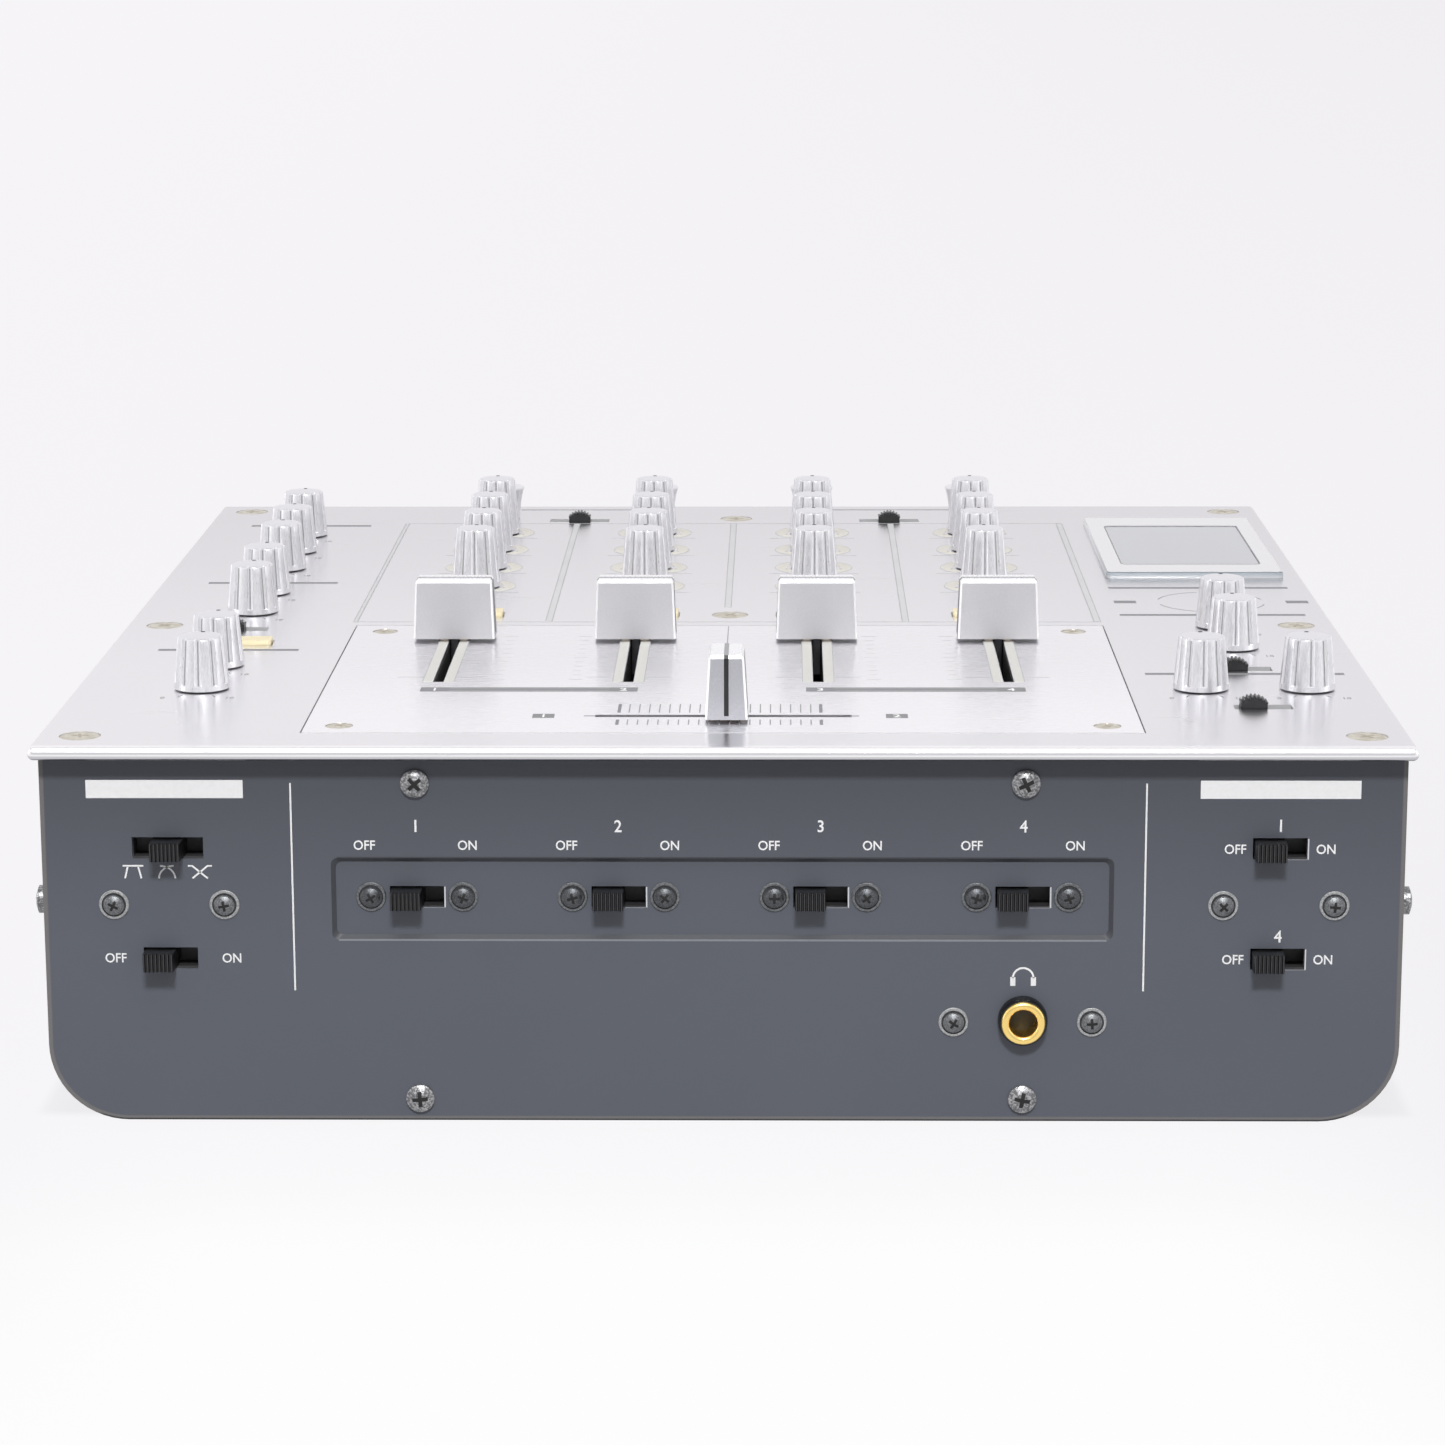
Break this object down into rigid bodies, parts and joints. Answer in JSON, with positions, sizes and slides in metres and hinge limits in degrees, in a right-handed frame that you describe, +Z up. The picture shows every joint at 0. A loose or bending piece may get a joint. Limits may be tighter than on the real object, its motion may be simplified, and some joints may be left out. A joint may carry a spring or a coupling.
{
  "type": "dj mixer",
  "caption": "Flat DJ mixer with a pale metal top full of fluted knobs, sliding faders, slide switches and a display window, on a dark wrapped case with switches and a headphone jack in front.",
  "frame": {"origin": "under the middle of the mixer's box, on the plane of its feet", "axes": "+X to the user's right, +Y away from the user, +Z up"},
  "size_m": [0.3226, 0.352, 0.1116],
  "materials": {
    "top_plate": "satin brushed",
    "fader_plate": "matte",
    "display": "clear gloss",
    "case_paint": "satin",
    "foot_rubber": "matte",
    "screw_steel": "satin",
    "jack_gilt": "polished",
    "socket_metal": "polished",
    "inner_parts": "matte",
    "button_cream": "translucent",
    "knob_silver": "satin",
    "cap_silver": "satin",
    "switch_black": "satin"
  },
  "bodies": {
    "mixer": {"top_panel": "top_plate", "fader_panel": "fader_plate", "display_window": "display", "front_panel": "case_paint", "case": "case_paint", "feet": "foot_rubber", "screws": "screw_steel", "phones_jack": "jack_gilt", "rear_connectors": "socket_metal", "electronics": "inner_parts"},
    "left_upper_knob_1": {"left_upper_knob_1": "knob_silver"},
    "left_upper_knob_2": {"left_upper_knob_2": "knob_silver"},
    "left_upper_knob_3": {"left_upper_knob_3": "knob_silver"},
    "left_middle_knob_1": {"left_middle_knob_1": "knob_silver"},
    "left_lower_knob_1": {"left_lower_knob_1": "knob_silver"},
    "right_upper_knob_1": {"right_upper_knob_1": "knob_silver"},
    "left_middle_knob_2": {"left_middle_knob_2": "knob_silver"},
    "left_lower_knob_2": {"left_lower_knob_2": "knob_silver"},
    "right_upper_knob_2": {"right_upper_knob_2": "knob_silver"},
    "ch1_low_knob": {"ch1_low_knob": "knob_silver"},
    "ch1_mid_knob": {"ch1_mid_knob": "knob_silver"},
    "ch1_high_knob": {"ch1_high_knob": "knob_silver"},
    "ch1_trim_knob": {"ch1_trim_knob": "knob_silver"},
    "ch2_low_knob": {"ch2_low_knob": "knob_silver"},
    "ch2_mid_knob": {"ch2_mid_knob": "knob_silver"},
    "ch2_high_knob": {"ch2_high_knob": "knob_silver"},
    "ch2_trim_knob": {"ch2_trim_knob": "knob_silver"},
    "ch3_low_knob": {"ch3_low_knob": "knob_silver"},
    "ch3_mid_knob": {"ch3_mid_knob": "knob_silver"},
    "ch3_high_knob": {"ch3_high_knob": "knob_silver"},
    "ch3_trim_knob": {"ch3_trim_knob": "knob_silver"},
    "ch4_low_knob": {"ch4_low_knob": "knob_silver"},
    "ch4_mid_knob": {"ch4_mid_knob": "knob_silver"},
    "ch4_high_knob": {"ch4_high_knob": "knob_silver"},
    "ch4_trim_knob": {"ch4_trim_knob": "knob_silver"},
    "right_lower_knob_left": {"right_lower_knob_left": "knob_silver"},
    "right_lower_knob_right": {"right_lower_knob_right": "knob_silver"},
    "ch1_selector_knob": {"ch1_selector_knob": "knob_silver"},
    "ch2_selector_knob": {"ch2_selector_knob": "knob_silver"},
    "ch3_selector_knob": {"ch3_selector_knob": "knob_silver"},
    "ch4_selector_knob": {"ch4_selector_knob": "knob_silver"},
    "ch1_fader": {"ch1_fader": "cap_silver"},
    "ch2_fader": {"ch2_fader": "cap_silver"},
    "ch3_fader": {"ch3_fader": "cap_silver"},
    "ch4_fader": {"ch4_fader": "cap_silver"},
    "crossfader": {"crossfader": "cap_silver"},
    "rear_left_switch": {"rear_left_switch": "switch_black"},
    "rear_right_switch": {"rear_right_switch": "switch_black"},
    "left_switch": {"left_switch": "switch_black"},
    "right_upper_switch": {"right_upper_switch": "switch_black"},
    "right_lower_switch": {"right_lower_switch": "switch_black"},
    "curve_switch": {"curve_switch": "switch_black"},
    "crossfader_reverse_switch": {"crossfader_reverse_switch": "switch_black"},
    "ch1_start_switch": {"ch1_start_switch": "switch_black"},
    "ch4_start_switch": {"ch4_start_switch": "switch_black"},
    "ch1_reverse_switch": {"ch1_reverse_switch": "switch_black"},
    "ch2_reverse_switch": {"ch2_reverse_switch": "switch_black"},
    "ch3_reverse_switch": {"ch3_reverse_switch": "switch_black"},
    "ch4_reverse_switch": {"ch4_reverse_switch": "switch_black"},
    "push_buttons": {"push_buttons": "button_cream"}
  },
  "joints": [
    {"name": "left_upper_knob_1_turn", "type": "hinge", "parent": "mixer", "child": "left_upper_knob_1", "pos_m": [-0.1285, 0.11345, 0.0951], "axis": [0, 0, 1], "range_deg": [-150, 150]},
    {"name": "left_upper_knob_2_turn", "type": "hinge", "parent": "mixer", "child": "left_upper_knob_2", "pos_m": [-0.1285, 0.08515, 0.0951], "axis": [0, 0, 1], "range_deg": [-150, 150]},
    {"name": "left_upper_knob_3_turn", "type": "hinge", "parent": "mixer", "child": "left_upper_knob_3", "pos_m": [-0.1285, 0.05685, 0.0951], "axis": [0, 0, 1], "range_deg": [-150, 150]},
    {"name": "left_middle_knob_1_turn", "type": "hinge", "parent": "mixer", "child": "left_middle_knob_1", "pos_m": [-0.1285, 0.01925, 0.0951], "axis": [0, 0, 1], "range_deg": [-150, 150]},
    {"name": "left_lower_knob_1_turn", "type": "hinge", "parent": "mixer", "child": "left_lower_knob_1", "pos_m": [-0.1285, -0.08095, 0.0951], "axis": [0, 0, 1], "range_deg": [-150, 150]},
    {"name": "right_upper_knob_1_turn", "type": "hinge", "parent": "mixer", "child": "right_upper_knob_1", "pos_m": [0.1297, -0.02935, 0.0951], "axis": [0, 0, 1], "range_deg": [-150, 150]},
    {"name": "left_middle_knob_2_turn", "type": "hinge", "parent": "mixer", "child": "left_middle_knob_2", "pos_m": [-0.1285, -0.00905, 0.0951], "axis": [0, 0, 1], "range_deg": [-150, 150]},
    {"name": "left_lower_knob_2_turn", "type": "hinge", "parent": "mixer", "child": "left_lower_knob_2", "pos_m": [-0.1285, -0.10925, 0.0951], "axis": [0, 0, 1], "range_deg": [-150, 150]},
    {"name": "right_upper_knob_2_turn", "type": "hinge", "parent": "mixer", "child": "right_upper_knob_2", "pos_m": [0.1297, -0.05765, 0.0951], "axis": [0, 0, 1], "range_deg": [-150, 150]},
    {"name": "ch1_low_knob_turn", "type": "hinge", "parent": "mixer", "child": "ch1_low_knob", "pos_m": [-0.0711, 0.02925, 0.0951], "axis": [0, 0, 1], "range_deg": [-150, 150]},
    {"name": "ch1_mid_knob_turn", "type": "hinge", "parent": "mixer", "child": "ch1_mid_knob", "pos_m": [-0.0711, 0.0585, 0.0951], "axis": [0, 0, 1], "range_deg": [-150, 150]},
    {"name": "ch1_high_knob_turn", "type": "hinge", "parent": "mixer", "child": "ch1_high_knob", "pos_m": [-0.0711, 0.08775, 0.0951], "axis": [0, 0, 1], "range_deg": [-150, 150]},
    {"name": "ch1_trim_knob_turn", "type": "hinge", "parent": "mixer", "child": "ch1_trim_knob", "pos_m": [-0.0711, 0.117, 0.0951], "axis": [0, 0, 1], "range_deg": [-150, 150]},
    {"name": "ch2_low_knob_turn", "type": "hinge", "parent": "mixer", "child": "ch2_low_knob", "pos_m": [-0.0241, 0.02925, 0.0951], "axis": [0, 0, 1], "range_deg": [-150, 150]},
    {"name": "ch2_mid_knob_turn", "type": "hinge", "parent": "mixer", "child": "ch2_mid_knob", "pos_m": [-0.0241, 0.0585, 0.0951], "axis": [0, 0, 1], "range_deg": [-150, 150]},
    {"name": "ch2_high_knob_turn", "type": "hinge", "parent": "mixer", "child": "ch2_high_knob", "pos_m": [-0.0241, 0.08775, 0.0951], "axis": [0, 0, 1], "range_deg": [-150, 150]},
    {"name": "ch2_trim_knob_turn", "type": "hinge", "parent": "mixer", "child": "ch2_trim_knob", "pos_m": [-0.0241, 0.117, 0.0951], "axis": [0, 0, 1], "range_deg": [-150, 150]},
    {"name": "ch3_low_knob_turn", "type": "hinge", "parent": "mixer", "child": "ch3_low_knob", "pos_m": [0.0229, 0.02925, 0.0951], "axis": [0, 0, 1], "range_deg": [-150, 150]},
    {"name": "ch3_mid_knob_turn", "type": "hinge", "parent": "mixer", "child": "ch3_mid_knob", "pos_m": [0.0229, 0.0585, 0.0951], "axis": [0, 0, 1], "range_deg": [-150, 150]},
    {"name": "ch3_high_knob_turn", "type": "hinge", "parent": "mixer", "child": "ch3_high_knob", "pos_m": [0.0229, 0.08775, 0.0951], "axis": [0, 0, 1], "range_deg": [-150, 150]},
    {"name": "ch3_trim_knob_turn", "type": "hinge", "parent": "mixer", "child": "ch3_trim_knob", "pos_m": [0.0229, 0.117, 0.0951], "axis": [0, 0, 1], "range_deg": [-150, 150]},
    {"name": "ch4_low_knob_turn", "type": "hinge", "parent": "mixer", "child": "ch4_low_knob", "pos_m": [0.0699, 0.02925, 0.0951], "axis": [0, 0, 1], "range_deg": [-150, 150]},
    {"name": "ch4_mid_knob_turn", "type": "hinge", "parent": "mixer", "child": "ch4_mid_knob", "pos_m": [0.0699, 0.0585, 0.0951], "axis": [0, 0, 1], "range_deg": [-150, 150]},
    {"name": "ch4_high_knob_turn", "type": "hinge", "parent": "mixer", "child": "ch4_high_knob", "pos_m": [0.0699, 0.08775, 0.0951], "axis": [0, 0, 1], "range_deg": [-150, 150]},
    {"name": "ch4_trim_knob_turn", "type": "hinge", "parent": "mixer", "child": "ch4_trim_knob", "pos_m": [0.0699, 0.117, 0.0951], "axis": [0, 0, 1], "range_deg": [-150, 150]},
    {"name": "right_lower_knob_left_turn", "type": "hinge", "parent": "mixer", "child": "right_lower_knob_left", "pos_m": [0.1164, -0.10925, 0.0951], "axis": [0, 0, 1], "range_deg": [-150, 150]},
    {"name": "right_lower_knob_right_turn", "type": "hinge", "parent": "mixer", "child": "right_lower_knob_right", "pos_m": [0.1424, -0.10925, 0.0951], "axis": [0, 0, 1], "range_deg": [-150, 150]},
    {"name": "ch1_selector_knob_turn", "type": "hinge", "parent": "mixer", "child": "ch1_selector_knob", "pos_m": [-0.0711, 0.14445, 0.0951], "axis": [0, 0, 1], "range_deg": [-60, 60]},
    {"name": "ch2_selector_knob_turn", "type": "hinge", "parent": "mixer", "child": "ch2_selector_knob", "pos_m": [-0.0241, 0.14445, 0.0951], "axis": [0, 0, 1], "range_deg": [-60, 60]},
    {"name": "ch3_selector_knob_turn", "type": "hinge", "parent": "mixer", "child": "ch3_selector_knob", "pos_m": [0.0229, 0.14445, 0.0951], "axis": [0, 0, 1], "range_deg": [-60, 60]},
    {"name": "ch4_selector_knob_turn", "type": "hinge", "parent": "mixer", "child": "ch4_selector_knob", "pos_m": [0.0699, 0.14445, 0.0951], "axis": [0, 0, 1], "range_deg": [-60, 60]},
    {"name": "ch1_fader_slide", "type": "slide", "parent": "mixer", "child": "ch1_fader", "axis": [0, 1, 0], "range_m": [-0.05, 0]},
    {"name": "ch2_fader_slide", "type": "slide", "parent": "mixer", "child": "ch2_fader", "axis": [0, 1, 0], "range_m": [-0.05, 0]},
    {"name": "ch3_fader_slide", "type": "slide", "parent": "mixer", "child": "ch3_fader", "axis": [0, 1, 0], "range_m": [-0.05, 0]},
    {"name": "ch4_fader_slide", "type": "slide", "parent": "mixer", "child": "ch4_fader", "axis": [0, 1, 0], "range_m": [-0.05, 0]},
    {"name": "crossfader_slide", "type": "slide", "parent": "mixer", "child": "crossfader", "axis": [1, 0, 0], "range_m": [-0.0233, 0.0217]},
    {"name": "rear_left_switch_slide", "type": "slide", "parent": "mixer", "child": "rear_left_switch", "axis": [1, 0, 0], "range_m": [-0.0044, 0.0044]},
    {"name": "rear_right_switch_slide", "type": "slide", "parent": "mixer", "child": "rear_right_switch", "axis": [1, 0, 0], "range_m": [-0.0044, 0.0044]},
    {"name": "left_switch_slide", "type": "slide", "parent": "mixer", "child": "left_switch", "axis": [1, 0, 0], "range_m": [0, 0.0047]},
    {"name": "right_upper_switch_slide", "type": "slide", "parent": "mixer", "child": "right_upper_switch", "axis": [1, 0, 0], "range_m": [0, 0.0047]},
    {"name": "right_lower_switch_slide", "type": "slide", "parent": "mixer", "child": "right_lower_switch", "axis": [1, 0, 0], "range_m": [0, 0.0047]},
    {"name": "curve_switch_slide", "type": "slide", "parent": "mixer", "child": "curve_switch", "axis": [1, 0, 0], "range_m": [-0.0042, 0.0042]},
    {"name": "crossfader_reverse_switch_slide", "type": "slide", "parent": "mixer", "child": "crossfader_reverse_switch", "axis": [1, 0, 0], "range_m": [0, 0.0046]},
    {"name": "ch1_start_switch_slide", "type": "slide", "parent": "mixer", "child": "ch1_start_switch", "axis": [1, 0, 0], "range_m": [0, 0.0046]},
    {"name": "ch4_start_switch_slide", "type": "slide", "parent": "mixer", "child": "ch4_start_switch", "axis": [1, 0, 0], "range_m": [0, 0.0046]},
    {"name": "ch1_reverse_switch_slide", "type": "slide", "parent": "mixer", "child": "ch1_reverse_switch", "axis": [1, 0, 0], "range_m": [0, 0.0046]},
    {"name": "ch2_reverse_switch_slide", "type": "slide", "parent": "mixer", "child": "ch2_reverse_switch", "axis": [1, 0, 0], "range_m": [0, 0.0046]},
    {"name": "ch3_reverse_switch_slide", "type": "slide", "parent": "mixer", "child": "ch3_reverse_switch", "axis": [1, 0, 0], "range_m": [0, 0.0046]},
    {"name": "ch4_reverse_switch_slide", "type": "slide", "parent": "mixer", "child": "ch4_reverse_switch", "axis": [1, 0, 0], "range_m": [0, 0.0046]},
    {"name": "push_buttons_press", "type": "slide", "parent": "mixer", "child": "push_buttons", "axis": [0, 0, -1], "range_m": [0, 0.0008], "stiffness_N_per_m": 1500}
  ]
}
